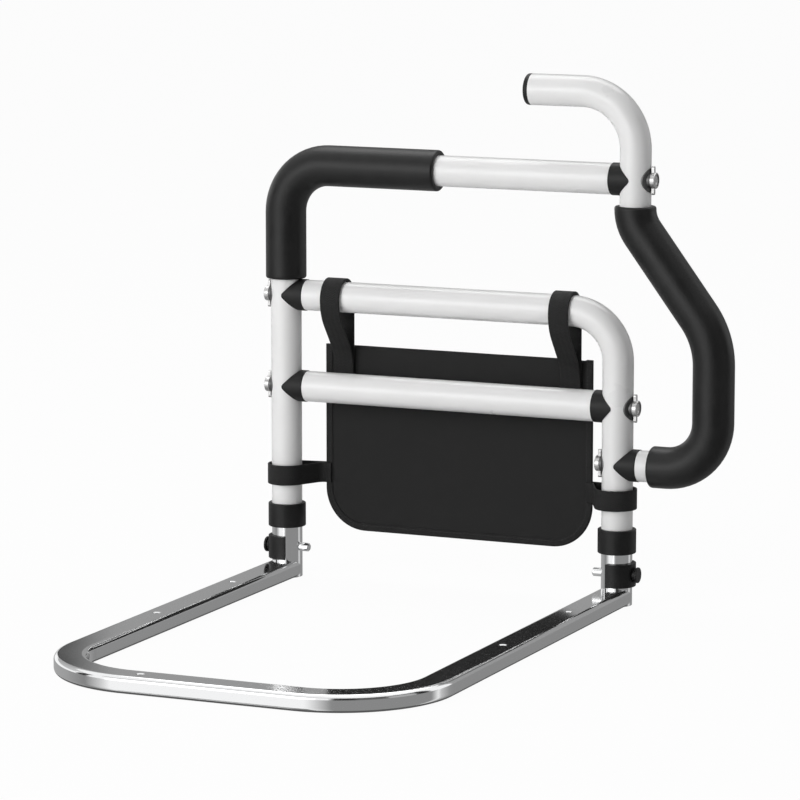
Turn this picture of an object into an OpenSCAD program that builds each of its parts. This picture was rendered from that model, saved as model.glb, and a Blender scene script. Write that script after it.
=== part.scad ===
// Bed rail: chromed U base, white tube frame with a cranked hand grip, foam sleeves and a cloth pouch.
// Origin: floor level, midway between the two posts, in the plane of the upright frame.
// +X runs along the rails towards the grip, -Y under the mattress, +Z up.

/* [Round tube] */
// Outer diameter of the posts, uprights and rails
tube_od = 28.6; // [26:0.1:31]
// Wall of the posts, uprights and rails
tube_wall = 1.5; // [1.2:0.1:2]
// Distance between the axes of the two legs
leg_spacing = 332.6; // [326:0.2:400]

/* [Base] */
// Width of the flat-sided base tube
base_w = 28.6; // [24:0.1:28.6]
// Height of the base tube
base_h = 15.4; // [12:0.1:16]
// Edge radius of the base tube
base_edge_r = 4.4; // [2.2:0.1:5]
// Wall of the base tube
base_wall = 1.5; // [1.2:0.1:2]
// Post axis to the axis of the front bar
base_depth = 497; // [400:1:600]
// Bend radius of the two front corners, at the tube's axis
base_corner_r = 88; // [60:1:98]
// Diameter of the anchor holes
anchor_hole_d = 5.5; // [4.5:0.1:6.5]
// Diameter of the anchor holes' countersinks, in the top face
anchor_sink_d = 7.5; // [6.8:0.1:7.8]
// Post axis to the first anchor hole of an arm
arm_hole_start = 118.5; // [60:0.5:140]
// Distance between the two anchor holes of an arm
arm_hole_pitch = 151.5; // [80:0.5:180]
// Distance between the two anchor holes of the front bar
bar_hole_pitch = 130; // [60:1:150]

/* [Legs] */
// Height of a chromed post
post_h = 59.5; // [54:0.5:64]
// Thickness of the plug in the foot of a post
foot_plug_t = 2; // [1:0.1:2.2]
// Height of the foot plug above the floor
foot_plug_z = 0.4; // [0:0.1:0.5]
// Outer diameter of the collar over the joint of post and upright
collar_od = 35.3; // [33:0.1:38]
// Height of the collar's lower edge above the floor
collar_z = 48.2; // [45:0.1:52]
// Height of the collar
collar_h = 22.2; // [20:0.1:26]
// Thickness of the collar's inner lip, which the upright stands on
collar_lip_t = 1.5; // [1:0.1:3]
// Radial clearance of the stem that slides in the post
stem_gap = 0.1; // [0.06:0.02:0.3]
// Wall of the stem
stem_wall = 1.5; // [1.2:0.1:2]
// Height of the stem's lower end
stem_z = 3.2; // [3:0.1:4]
// Height of the stem's upper end, inside the upright
stem_top = 114; // [95:1:118]

/* [Lock pins] */
// Diameter of the lock pin
lock_pin_d = 8; // [6:0.1:9]
// Height of the lock pins
lock_z = 28.5; // [27:0.1:32]
// Distance between the two cross holes of the stem
lock_pitch = 15; // [13:0.5:16]
// Reach of the pin's tip past the post's axis
lock_tip_reach = 23; // [18:0.5:28]
// Outer diameter of the spring clip
clip_od = 35.4; // [34:0.1:38]
// Height of the spring clip
clip_h = 21.8; // [16:0.1:22]
// How far the clip's arms reach past the post's middle, in degrees
clip_arm_angle = 16; // [5:1:20]
// Diameter of the pull knob's rim
knob_d = 14.4; // [12:0.1:16]
// Thickness of the pull knob's rim
knob_rim_t = 2.2; // [1.5:0.1:4]
// Diameter of the pull knob's neck
knob_neck_d = 11; // [9.8:0.1:11.4]
// Length of the neck between clip and rim
knob_neck_t = 1.7; // [0.5:0.1:3]

/* [Rails] */
// Height of the top rail's axis
top_rail_z = 390; // [370:1:420]
// Height of the middle rail's axis
mid_rail_z = 268; // [255:1:280]
// Height of the lower rail's axis
low_rail_z = 182; // [170:1:195]
// Bend radius of the rails into their uprights, at the axis
rail_bend_r = 44.5; // [35:0.5:60]

/* [Handle] */
// Rise of the upper handle's axis over the top rail's axis
handle_rise = 78; // [70:1:110]
// Axis of the handle's upright part, measured from the right leg
handle_offset = 15.3; // [10:0.1:25]
// Free end of the upper handle, measured from the frame's middle
handle_end_x = 81.4; // [60:0.1:110]
// Bend radius of the upper handle
handle_bend_r = 51; // [40:0.5:60]
// Reach of the grip's outer run from the right leg
grip_reach = 91.8; // [80:0.2:110]
// Drop from the top rail's axis to the point where the grip leans outwards
grip_knee_drop = 38.2; // [34:0.2:48]
// Height of the grip's lower end
grip_foot_z = 129.6; // [124:0.2:135]
// Bend radius of the upper knee
knee_top_r = 36; // [33:3:42]
// Bend radius of the lower knee
knee_low_r = 75; // [51:3:90]
// Bend radius of the grip's foot
grip_foot_r = 44; // [36:0.5:50]

/* [Foam] */
// Outer diameter of the foam sleeves
foam_od = 38; // [34:0.2:42]
// Rounding of the foam's cut ends
foam_end_r = 2; // [0.6:0.1:2.2]
// Gap from the middle rail's saddle to the foam's lower end on the left upright
foam_left_gap = 0.4; // [0.3:0.1:40]
// End of the foam on the top rail, measured from the frame's middle
foam_rail_x = -10.5; // [-60:0.5:60]
// Straight foam over the grip's upper knee
foam_grip_lead = 0.6; // [0.2:0.2:4]
// End of the foam at the grip's foot, measured from the right leg
foam_foot_x = 33.5; // [28:0.5:36]

/* [Joints] */
// How far a saddle's head stands proud of its rail
saddle_proud = 0.5; // [0.1:0.1:1.2]
// Length of a saddle head from the upright's axis
saddle_len = 21.8; // [18:0.1:25]
// Length of the plug inside the rail
saddle_plug_len = 18; // [12:0.5:26]
// Radius of the tongues' tips
tongue_tip_r = 3.5; // [1:0.1:5]
// How far the tongues' tips stay short of the upright's axis
tongue_tip_x = 1.5; // [0:0.1:4]
// Thread diameter of the joint bolts
bolt_d = 6; // [5:0.5:8]
// Width across the flats of the bolt heads
bolt_head_w = 10; // [9:0.5:13]
// Height of the bolt heads
bolt_head_h = 4; // [3:0.1:6]
// Diameter of the saddle washers
washer_d = 22; // [18:0.5:24]
// Thickness of a saddle washer's curved plate
washer_plate_t = 0.9; // [0.6:0.1:1]
// Thickness of a saddle washer at its flat seat
washer_t = 1.1; // [1.1:0.1:2]
// Diameter of a saddle washer's flat seat
washer_seat_d = 15.4; // [12:0.1:16]
// Diameter of a wing nut's hub
nut_hub_d = 14.6; // [13.8:0.1:16]
// Height of a wing nut's hub
nut_hub_h = 4.7; // [3.6:0.1:6]
// Outer diameter of the groove in a wing nut's face
nut_groove_d = 11.8; // [11:0.1:12.4]
// Depth of that groove
nut_groove_h = 1.8; // [1:0.1:2.4]
// Diameter of the boss inside the groove
nut_boss_d = 8.8; // [8.4:0.1:9.6]
// Drop of the boss below the nut's face
nut_boss_drop = 0.6; // [0.3:0.1:0.9]
// Chamfer at the mouth of a wing nut's thread
nut_chamfer = 0.5; // [0.3:0.1:0.8]
// Depth of a bolt's end below the face of its wing nut
bolt_recess = 0.9; // [0.6:0.1:2.4]
// Span over a wing nut's two wings
nut_span = 26; // [22:0.5:30]
// Width of a wing
wing_w = 3.8; // [3:0.1:6]
// Thickness of a wing
wing_t = 2.5; // [1.5:0.1:2.9]
// Height of the wings above the nut's seat
wing_lift = 0.3; // [0.2:0.1:0.5]

/* [End plug] */
// Thickness of the end plug's rim
end_plug_t = 4.9; // [3.2:0.1:7]
// Radius of the end plug's edge
end_plug_r = 2.2; // [0.5:0.1:3]
// Length of the end plug inside the tube
end_plug_len = 14; // [8:0.5:24]

/* [Pouch] */
// Gap from a leg's axis to the pouch's side
pouch_side_gap = 31.8; // [29:0.2:50]
// Height of the pouch
pouch_h = 175; // [150:1:180]
// Drop from the middle rail's axis to the pouch's upper edge
pouch_drop = 47.7; // [40:0.1:56]
// Front face of the pouch, behind the frame's plane
pouch_y = 18.2; // [18:0.1:20]
// Thickness of the pouch at its bound edge
pouch_edge_t = 3.6; // [3.4:0.1:5]
// Depth of the pouch from its front face to its back
pouch_depth = 8.6; // [7.4:0.2:16]
// Width of the sloping sides of the back panel
pouch_gusset = 24; // [10:1:28]
// Radius of the pouch's lower corners
pouch_corner_r = 36; // [20:1:60]
// Radius of the pouch's upper corners
pouch_top_r = 2; // [1:0.1:6]
// Width of the binding
binding_w = 7; // [4:0.1:12]
// Thickness of the binding on each face
binding_t = 0.6; // [0.4:0.1:1]
// Thickness of a panel's cloth
panel_t = 1; // [0.6:0.1:1.3]
// Drop of the panels' upper edge below the binding
mouth_drop = 0.8; // [0:0.1:2]

/* [Straps] */
// Width of the hanging straps
strap_w = 19.4; // [12:0.2:30]
// Thickness of the straps' webbing
strap_t = 1.6; // [0.8:0.1:2]
// Slack of a hanging strap at the sides of the middle rail
strap_slack = 1.9; // [0.3:0.1:2]
// Pouch's side to the middle of a hanging strap
strap_inset = 20.5; // [15:0.5:60]
// Radius of the bends in the strap's front leg
strap_bend_r = 40; // [30:1:50]
// Lean of the strap's front leg, in degrees
strap_lean = 38; // [30:1:45]
// Straight tail at the end of the strap's front leg
strap_tail = 6; // [2:0.5:8]
// Lap of a strap's back leg down the pouch
strap_lap = 32; // [5:1:34]
// Height of the side straps
side_strap_h = 18.8; // [12:0.2:24]
// Height of the side straps' lower edge
side_strap_z = 88.8; // [84:0.1:96]
// Slack of a side strap round the upright
side_strap_slack = 2.2; // [0.3:0.1:3]
// End of a side strap, inwards from the pouch's edge
side_strap_end = 6; // [3:0.5:15]
// How far inside the pouch's edge a side strap leaves its face
side_strap_flat = 1.4; // [1:0.1:2.5]
// Radius of the bend with which a side strap leaves the pouch's face
side_strap_bend_r = 8; // [6:0.5:12]

/* [Hidden] */
$fn = 64;
// Gap between faces that are fixed together
fit_gap = 0.05;
// Radial clearance of sliding fits
slide_gap = 0.08;
// Gap between neighbouring pieces that move apart
free_gap = 0.3;
// Gap between two layers of cloth
lay_gap = 0.2;
// Overrun of cutting solids
cut = 1;
// Radius of moulded edges, and of small ones
edge_r = 1;
small_edge_r = 0.6;
leg_x = leg_spacing / 2;
tube_r = tube_od / 2;
tube_id = tube_od - 2 * tube_wall;
stem_od = tube_id - 2 * stem_gap;
saddle_od = tube_od + 2 * saddle_proud;
handle_z = top_rail_z + handle_rise;
grip_knee_top_z = top_rail_z - grip_knee_drop;
// The knee turns through the angle whose half has a tangent of 1/3
foam_grip_z = grip_knee_top_z + knee_top_r / 3 + foam_end_r + foam_grip_lead;
foam_left_z = mid_rail_z + saddle_od / 2 + foam_left_gap;
pouch_x = leg_spacing / 2 - pouch_side_gap;
pouch_top_z = mid_rail_z - pouch_drop;
strap_x = pouch_x - strap_inset;
handle_x = leg_x + handle_offset;
grip_x = leg_x + grip_reach;
// The leaning run of the grip drops 4 for every 3 across
grip_knee_low_z = grip_knee_top_z - (grip_x - handle_x) * 4 / 3;
// The upright stands on the collar's lip
upright_z = post_h + collar_lip_t + free_gap;
// How far short of the post's axis the arms of the base are cut
weld_back = 2.5;
clip_inner_r = tube_r + free_gap;
clip_tip_x = -clip_od / 2 * sin(clip_arm_angle);
knob_neck_x = clip_inner_r + free_gap;
knob_rim_x = clip_od / 2 + knob_neck_t;
washer_face = tube_r + washer_t;
nut_seat = washer_face + slide_gap;
nut_bore = bolt_d + 2 * slide_gap;
bolt_end = nut_seat + nut_hub_h - bolt_recess;
plug_end = saddle_len + saddle_plug_len;
strap_r = tube_r + strap_slack + strap_t / 2;
side_strap_r = tube_r + side_strap_slack + strap_t / 2;
pouch_back_y = pouch_y + pouch_depth;
back_rim_y = pouch_y + pouch_edge_t - binding_t - panel_t;
tray_inset = binding_w + free_gap;
pouch_z = pouch_top_z - pouch_h;
bar_x = leg_x - base_corner_r;
bar_y = base_depth - base_corner_r;

// A place beside the right leg or the left leg; the left one is the mirror image
module at_leg(side) {
  translate([side * leg_x, 0, 0]) scale_side(side) children();
}

module scale_side(side) {
  if (side > 0) children();
  else mirror([1, 0, 0]) children();
}

// A solid drawn in the XY plane, stood up in the frame's plane
module in_frame_plane() {
  rotate([90, 0, 0]) children();
}

// Direction, turn and bend trim of a path of corner points
function heading(a, b) = atan2(b.y - a.y, b.x - a.x);
function turn_angle(a, b, c) =
  let (t = heading(b, c) - heading(a, b))
  t > 180 ? t - 360 : t < -180 ? t + 360 : t;
function bend_trim(a, b, c, r) = r * tan(abs(turn_angle(a, b, c)) / 2);
function towards(a, b, d) = a + d * [cos(heading(a, b)), sin(heading(a, b))];

// Trim at each corner of a path; none at its ends
function path_trims(v, r) = [
  for (i = [0:len(v) - 1])
    i == 0 || i == len(v) - 1 ? 0 : bend_trim(v[i - 1], v[i], v[i + 1], r[i - 1])
];

// Round bar along corner points v with bend radii r, longer by over at both ends
module swept_bar(v, r, d, over = 0) {
  trims = path_trims(v, r);
  last = len(v) - 1;
  for (i = [0:last - 1]) {
    start = towards(v[i], v[i + 1], i == 0 ? -over : trims[i]);
    stop = towards(v[i + 1], v[i], i == last - 1 ? -over : trims[i + 1]);
    translate(start) rotate(heading(v[i], v[i + 1])) rotate([0, 90, 0])
      cylinder(d = d, h = norm(stop - start));
  }
  for (i = [1:last - 1]) bend(v[i - 1], v[i], v[i + 1], r[i - 1], d);
}

// One bend of a swept bar: the part of a ring between its two tangent planes
module bend(a, b, c, r, d) {
  trim = bend_trim(a, b, c, r);
  start = towards(b, a, trim);
  side = turn_angle(a, b, c) > 0 ? 1 : -1;
  centre = start + r * side * [-sin(heading(a, b)), cos(heading(a, b))];
  first = 2 * (start - centre);
  second = 2 * (towards(b, c, trim) - centre);
  translate(centre) intersection() {
    rotate_extrude() translate([r, 0]) circle(d = d);
    linear_extrude(2 * d, center = true) polygon([[0, 0], first, first + second, second]);
  }
}

module bent_tube(v, r, d_out, d_in) {
  in_frame_plane() difference() {
    swept_bar(v, r, d_out);
    swept_bar(v, r, d_in, cut);
  }
}

// Rectangle with rounded corners, its lower edge on the X axis
module round_rect(w, h, r) {
  translate([-w / 2 + r, 0]) square([w - 2 * r, h]);
  translate([-w / 2, r]) square([w, h - 2 * r]);
  for (x = [-1, 1], y = [r, h - r]) translate([x * (w / 2 - r), y]) circle(r = r);
}

// Section of the base tube, whole or its hollow
module base_section(hollow) {
  inset = hollow ? base_wall : 0;
  translate([0, inset]) round_rect(base_w - 2 * inset, base_h - 2 * inset, base_edge_r - inset);
}

// The U of the base, whole or its hollow
module base_run(hollow) {
  for (side = [-1, 1])
    translate([side * leg_x, 0, 0]) rotate([90, 0, 0]) linear_extrude(bar_y) base_section(hollow);
  translate([-bar_x, -base_depth, 0]) rotate([90, 0, 90]) linear_extrude(2 * bar_x) base_section(hollow);
  translate([bar_x, -bar_y, 0]) rotate(-90) rotate_extrude(angle = 90)
    translate([base_corner_r, 0]) base_section(hollow);
  translate([-bar_x, -bar_y, 0]) rotate(180) rotate_extrude(angle = 90)
    translate([base_corner_r, 0]) base_section(hollow);
}

module anchor_holes() {
  for (side = [-1, 1]) {
    for (i = [0, 1]) translate([side * leg_x, -arm_hole_start - i * arm_hole_pitch, 0]) anchor_hole();
    translate([side * bar_hole_pitch / 2, -base_depth, 0]) anchor_hole();
  }
}

// Hole through both walls, with a countersink of 45 degrees in the top face
module anchor_hole() {
  sink = (anchor_sink_d - anchor_hole_d) / 2;
  translate([0, 0, -cut]) cylinder(d = anchor_hole_d, h = base_h + 2 * cut);
  translate([0, 0, base_h - sink])
    cylinder(d1 = anchor_hole_d, d2 = anchor_sink_d + 2 * cut, h = sink + cut);
}

module base_tube() color("silver") difference() {
  base_run(false);
  base_run(true);
  anchor_holes();
  for (side = [-1, 1]) translate([side * leg_x, 0, -cut]) {
    cylinder(d = tube_od, h = base_h + 2 * cut);
    translate([-base_w, -weld_back, 0]) cube([2 * base_w, base_w, base_h + 2 * cut]);
  }
}

// Hole for a lock pin through a leg
module lock_hole(z) {
  translate([0, 0, z]) rotate([0, 90, 0])
    cylinder(d = lock_pin_d + 2 * slide_gap, h = 2 * tube_od, center = true);
}

module post() color("silver") difference() {
  cylinder(d = tube_od, h = post_h);
  translate([0, 0, -cut]) cylinder(d = tube_id, h = post_h + 2 * cut);
  lock_hole(lock_z);
}

module foot_plug() color([0.12, 0.12, 0.12]) translate([0, 0, foot_plug_z])
  cylinder(d = tube_id - 2 * fit_gap, h = foot_plug_t);

// Collar: rounded ring with a lip inside that rests on the post's mouth
module collar() color([0.12, 0.12, 0.12]) difference() {
  translate([0, 0, collar_z]) rotate_extrude() difference() {
    round_rect(collar_od, collar_h, edge_r);
    translate([-collar_od, -cut]) square([collar_od, collar_h + 2 * cut]);
  }
  translate([0, 0, collar_z - cut]) cylinder(d = tube_od + 2 * fit_gap, h = post_h - collar_z + cut);
  cylinder(d = stem_od + 2 * free_gap, h = collar_z + collar_h + cut);
  translate([0, 0, post_h + collar_lip_t]) cylinder(d = tube_od + 2 * free_gap, h = collar_h);
}

module stem() color("silver") difference() {
  translate([0, 0, stem_z]) cylinder(d = stem_od, h = stem_top - stem_z);
  cylinder(d = stem_od - 2 * stem_wall, h = stem_top + cut);
  lock_hole(lock_z);
  lock_hole(lock_z - lock_pitch);
}

// Lock parts lie along +X, the outer side of the right leg
module lock_pin() color("silver") translate([0, 0, lock_z]) rotate([0, 90, 0]) {
  translate([0, 0, -lock_tip_reach]) cylinder(d1 = lock_pin_d - 2 * edge_r, d2 = lock_pin_d, h = edge_r);
  translate([0, 0, edge_r - lock_tip_reach])
    cylinder(d = lock_pin_d, h = lock_tip_reach - edge_r + knob_rim_x);
}

module lock_knob() color([0.12, 0.12, 0.12]) translate([0, 0, lock_z]) rotate([0, 90, 0]) difference() {
  union() {
    translate([0, 0, knob_neck_x]) cylinder(d = knob_neck_d, h = knob_rim_x - knob_neck_x + fit_gap);
    translate([0, 0, knob_rim_x]) rotate_extrude() intersection() {
      round_rect(knob_d, knob_rim_t, small_edge_r);
      square([knob_d, knob_rim_t]);
    }
  }
  translate([0, 0, -fit_gap]) cylinder(d = lock_pin_d + 2 * fit_gap, h = knob_rim_x + 2 * fit_gap);
}

// Spring clip: a C round the post, with straight flanks so that it pulls off
module lock_clip() color([0.12, 0.12, 0.12]) translate([0, 0, lock_z - clip_h / 2]) difference() {
  rotate_extrude() difference() {
    round_rect(clip_od, clip_h, small_edge_r);
    translate([-clip_od, -cut]) square([clip_od, clip_h + 2 * cut]);
  }
  translate([0, 0, -cut]) cylinder(r = clip_inner_r, h = clip_h + 2 * cut);
  translate([-clip_od, -clip_inner_r, -cut]) cube([clip_od, 2 * clip_inner_r, clip_h + 2 * cut]);
  translate([clip_tip_x - clip_od, -clip_od, -cut]) cube([clip_od, 2 * clip_od, clip_h + 2 * cut]);
  translate([0, 0, clip_h / 2]) rotate([0, 90, 0]) cylinder(d = knob_neck_d + 2 * fit_gap, h = clip_od);
}

// Corner points of the bent tubes, in X and Z
top_path = [[-leg_x, upright_z], [-leg_x, top_rail_z], [handle_x - saddle_len - fit_gap, top_rail_z]];
mid_path = [[leg_x, upright_z], [leg_x, mid_rail_z], [-leg_x + saddle_len + fit_gap, mid_rail_z]];
handle_path = [
  [handle_end_x, handle_z], [handle_x, handle_z], [handle_x, grip_knee_top_z], [grip_x, grip_knee_low_z],
  [grip_x, grip_foot_z], [leg_x + saddle_len + fit_gap, grip_foot_z]
];
handle_radii = [handle_bend_r, knee_top_r, knee_low_r, grip_foot_r];

// Bolted joints: place and side of the rail, seen from the axis of the tube that carries it
mid_left = [-leg_x, mid_rail_z, 1];
low_left = [-leg_x, low_rail_z, 1];
low_right = [leg_x, low_rail_z, -1];
top_right = [handle_x, top_rail_z, -1];
grip_foot = [leg_x, grip_foot_z, 1];
joints = [mid_left, low_left, low_right, top_right, grip_foot];

module at_joint(j) {
  translate([j[0], 0, j[1]]) scale_side(j[2]) children();
}

// Bolt hole through both walls of an upright
module bolt_holes(places) {
  for (j = places) at_joint(j) rotate([0, 90, 0]) cylinder(d = bolt_d + 2 * free_gap, h = 2 * tube_od, center = true);
}

module top_rail_tube() color("white") difference() {
  bent_tube(top_path, [rail_bend_r], tube_od, tube_id);
  bolt_holes([mid_left, low_left]);
}

module mid_rail_tube() color("white") difference() {
  bent_tube(mid_path, [rail_bend_r], tube_od, tube_id);
  bolt_holes([low_right, grip_foot]);
}

module low_rail_tube() color("white") {
  half = leg_x - saddle_len - fit_gap;
  translate([-half, 0, low_rail_z]) rotate([0, 90, 0]) difference() {
    cylinder(d = tube_od, h = 2 * half);
    translate([0, 0, -cut]) cylinder(d = tube_id, h = 2 * half + 2 * cut);
  }
}

module handle_tube() color("white") difference() {
  bent_tube(handle_path, handle_radii, tube_od, tube_id);
  bolt_holes([top_right]);
}

// Foam sleeve along a path, its cut ends rounded
module foam_sleeve(v, r) color([0.16, 0.16, 0.16]) {
  last = len(v) - 1;
  first_in = towards(v[0], v[1], foam_end_r);
  last_in = towards(v[last], v[last - 1], foam_end_r);
  middle = [for (i = [0:last]) i == 0 ? first_in : i == last ? last_in : v[i]];
  in_frame_plane() difference() {
    union() {
      swept_bar(middle, r, foam_od);
      foam_end(first_in, heading(v[1], v[0]));
      foam_end(last_in, heading(v[last - 1], v[last]));
    }
    swept_bar(v, r, tube_od + 2 * fit_gap, cut);
  }
}

module foam_end(place, angle) {
  translate(place) rotate(angle) rotate([0, 90, 0]) rotate_extrude() {
    square([foam_od / 2 - foam_end_r, foam_end_r]);
    intersection() {
      translate([foam_od / 2 - foam_end_r, 0]) circle(r = foam_end_r);
      square([foam_od / 2, foam_end_r]);
    }
  }
}

module top_foam_sleeve()
  foam_sleeve([[-leg_x, foam_left_z], [-leg_x, top_rail_z], [foam_rail_x, top_rail_z]], [rail_bend_r]);

module grip_foam_sleeve() {
  foam_sleeve([
    [handle_x, foam_grip_z], [handle_x, grip_knee_top_z], [grip_x, grip_knee_low_z],
    [grip_x, grip_foot_z], [leg_x + foam_foot_x, grip_foot_z]
  ], [knee_top_r, knee_low_r, grip_foot_r]);
}

module handle_end_plug() color([0.12, 0.12, 0.12]) translate([handle_end_x, 0, handle_z]) {
  translate([-end_plug_t, 0, 0]) rotate([0, 90, 0]) rotate_extrude() {
    square([tube_r - end_plug_r, end_plug_t]);
    translate([0, end_plug_r]) square([tube_r, end_plug_t - end_plug_r]);
    intersection() {
      translate([tube_r - end_plug_r, end_plug_r]) circle(r = end_plug_r);
      square([tube_r, end_plug_r]);
    }
  }
  rotate([0, 90, 0]) cylinder(d = tube_id - 2 * fit_gap, h = end_plug_len);
}

// Side outline of a saddle's tongues: a point with a round tip that widens at 45 degrees
function tongue_outline() =
  let (centre = tongue_tip_x + tongue_tip_r, reach = saddle_len - centre + tongue_tip_r * sqrt(2))
  concat(
    [for (a = [225:-15:135]) [centre + tongue_tip_r * cos(a), tongue_tip_r * sin(a)]],
    [[saddle_len, reach], [saddle_len, -reach]]
  );

// Saddle plug: a head coped to the upright, and a plug for the rail, bored for the bolt
module saddle() color([0.12, 0.12, 0.12]) difference() {
  union() {
    intersection() {
      rotate([0, 90, 0]) rotate_extrude() intersection() {
        round_rect(saddle_od, saddle_len, small_edge_r);
        square([saddle_od, saddle_len]);
      }
      rotate([90, 0, 0]) linear_extrude(2 * tube_od, center = true) polygon(tongue_outline());
    }
    rotate([0, 90, 0]) cylinder(d = tube_id - 2 * fit_gap, h = plug_end);
  }
  cylinder(r = tube_r + fit_gap, h = 2 * tube_od, center = true);
  rotate([0, 90, 0]) cylinder(d = bolt_d + 2 * fit_gap, h = plug_end + cut);
  translate([plug_end - bolt_head_h, 0, 0]) rotate([0, 90, 0])
    cylinder(d = bolt_head_w / cos(30) + 2 * fit_gap, h = bolt_head_h + cut, $fn = 6);
}

module joint_bolt() color("silver") rotate([0, 90, 0]) {
  translate([0, 0, -bolt_end]) cylinder(d = bolt_d, h = bolt_end + plug_end - bolt_head_h + fit_gap);
  translate([0, 0, plug_end - bolt_head_h + fit_gap]) cylinder(d = bolt_head_w / cos(30), h = bolt_head_h, $fn = 6);
}

// Saddle washer: a round plate bent to the upright, with a flat seat for the nut
module saddle_washer() color("dimgray") difference() {
  union() {
    intersection() {
      cylinder(r = tube_r + washer_plate_t, h = 2 * washer_d, center = true);
      translate([-tube_od, 0, 0]) rotate([0, 90, 0]) cylinder(d = washer_d, h = tube_od);
    }
    translate([-washer_face, 0, 0]) rotate([0, 90, 0]) cylinder(d = washer_seat_d, h = washer_face);
  }
  cylinder(r = tube_r + fit_gap, h = 2 * tube_od, center = true);
  rotate([0, 90, 0]) cylinder(d = bolt_d + 2 * free_gap, h = 2 * tube_od, center = true);
}

// Wing nut: a round hub with a grooved face and two short bar wings, upright at rest
module wing_nut() color("silver") translate([-nut_seat - nut_hub_h, 0, 0]) rotate([0, 90, 0]) difference() {
  union() {
    rotate_extrude() intersection() {
      round_rect(nut_hub_d, nut_hub_h, small_edge_r);
      square([nut_hub_d, nut_hub_h]);
    }
    translate([-(nut_span - wing_w) / 2, -wing_w / 2, nut_hub_h - wing_t - wing_lift])
      cube([nut_span - wing_w, wing_w, wing_t]);
    for (end = [-1, 1]) translate([end * (nut_span - wing_w) / 2, 0, nut_hub_h - wing_t - wing_lift])
      cylinder(d = wing_w, h = wing_t);
  }
  translate([0, 0, -cut]) cylinder(d = nut_bore, h = nut_hub_h + 2 * cut);
  translate([0, 0, nut_boss_drop - cut])
    cylinder(d1 = nut_bore + 2 * (nut_chamfer + cut), d2 = nut_bore, h = nut_chamfer + cut);
  translate([0, 0, -cut]) difference() {
    cylinder(d = nut_groove_d, h = nut_groove_h + cut);
    translate([0, 0, nut_boss_drop + cut]) cylinder(d = nut_boss_d, h = nut_groove_h + cut);
  }
}

// Outline of the pouch, drawn in from its edge by inset and lowered at the mouth by drop
module pouch_outline(inset, drop) {
  r = max(pouch_corner_r - inset, 2 * pouch_top_r);
  x = pouch_x - inset;
  top = pouch_top_z - drop;
  for (side = [-1, 1]) {
    translate([side * (x - r), pouch_z + inset + r]) circle(r = r);
    translate([side * (x - pouch_top_r), top - pouch_top_r]) circle(r = pouch_top_r);
  }
  translate([-x + r, pouch_z + inset]) square([2 * (x - r), r]);
  translate([-x, pouch_z + inset + r]) square([2 * x, top - pouch_top_r - pouch_z - inset - r]);
  translate([-x + pouch_top_r, top - 2 * pouch_top_r]) square([2 * (x - pouch_top_r), 2 * pouch_top_r]);
}

// A slab of cloth between two depths behind the frame
module cloth_slab(front, back) {
  translate([0, back, 0]) rotate([90, 0, 0]) linear_extrude(back - front) children();
}

module pouch_front_panel() color([0.15, 0.15, 0.15])
  cloth_slab(pouch_y + binding_t, pouch_y + binding_t + panel_t) pouch_outline(binding_t, mouth_drop);

// Back panel: a flat rim in the binding and a shallow tray, open at the mouth
module pouch_back_panel() color([0.15, 0.15, 0.15]) difference() {
  union() {
    cloth_slab(back_rim_y, back_rim_y + panel_t) pouch_outline(binding_t, mouth_drop);
    hull() {
      cloth_slab(back_rim_y, back_rim_y + panel_t) pouch_outline(tray_inset, mouth_drop, $fn = 32);
      cloth_slab(pouch_back_y - panel_t, pouch_back_y)
        pouch_outline(tray_inset + pouch_gusset, mouth_drop, $fn = 32);
    }
  }
  hull() {
    cloth_slab(back_rim_y - cut, back_rim_y) pouch_outline(tray_inset + panel_t, -cut, $fn = 32);
    cloth_slab(pouch_back_y - 2 * panel_t, pouch_back_y - panel_t)
      pouch_outline(tray_inset + pouch_gusset + panel_t / 2, -cut, $fn = 32);
  }
}

// Binding: a channel of tape round the sides and the lower edge
module pouch_binding() color([0.13, 0.13, 0.13]) difference() {
  cloth_slab(pouch_y, pouch_y + pouch_edge_t) pouch_outline(0, 0);
  cloth_slab(pouch_y - cut, pouch_y + pouch_edge_t + cut) binding_window();
  cloth_slab(pouch_y + binding_t, pouch_y + pouch_edge_t - binding_t) {
    pouch_outline(binding_t, mouth_drop);
    translate([-pouch_x + binding_t, pouch_top_z - 2 * pouch_top_r]) square([2 * (pouch_x - binding_t), pouch_h]);
  }
}

module binding_window() {
  pouch_outline(binding_w, 0);
  translate([-pouch_x + binding_w, pouch_top_z - 2 * pouch_top_r]) square([2 * (pouch_x - binding_w), pouch_h]);
}

// Points of an arc about a centre, from one angle to another
function arc(centre, r, from, to, steps) =
  [for (i = [0:steps]) centre + r * [cos(from + (to - from) * i / steps), sin(from + (to - from) * i / steps)]];

// Webbing of thickness t along a line of points
function side_step(p, i) =
  let (a = p[max(i - 1, 0)], b = p[min(i + 1, len(p) - 1)], h = heading(a, b))
  [-sin(h), cos(h)];
module webbing(p, t) {
  left = [for (i = [0:len(p) - 1]) p[i] + side_step(p, i) * t / 2];
  right = [for (i = [len(p) - 1:-1:0]) p[i] - side_step(p, i) * t / 2];
  polygon(concat(left, right));
}

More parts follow.
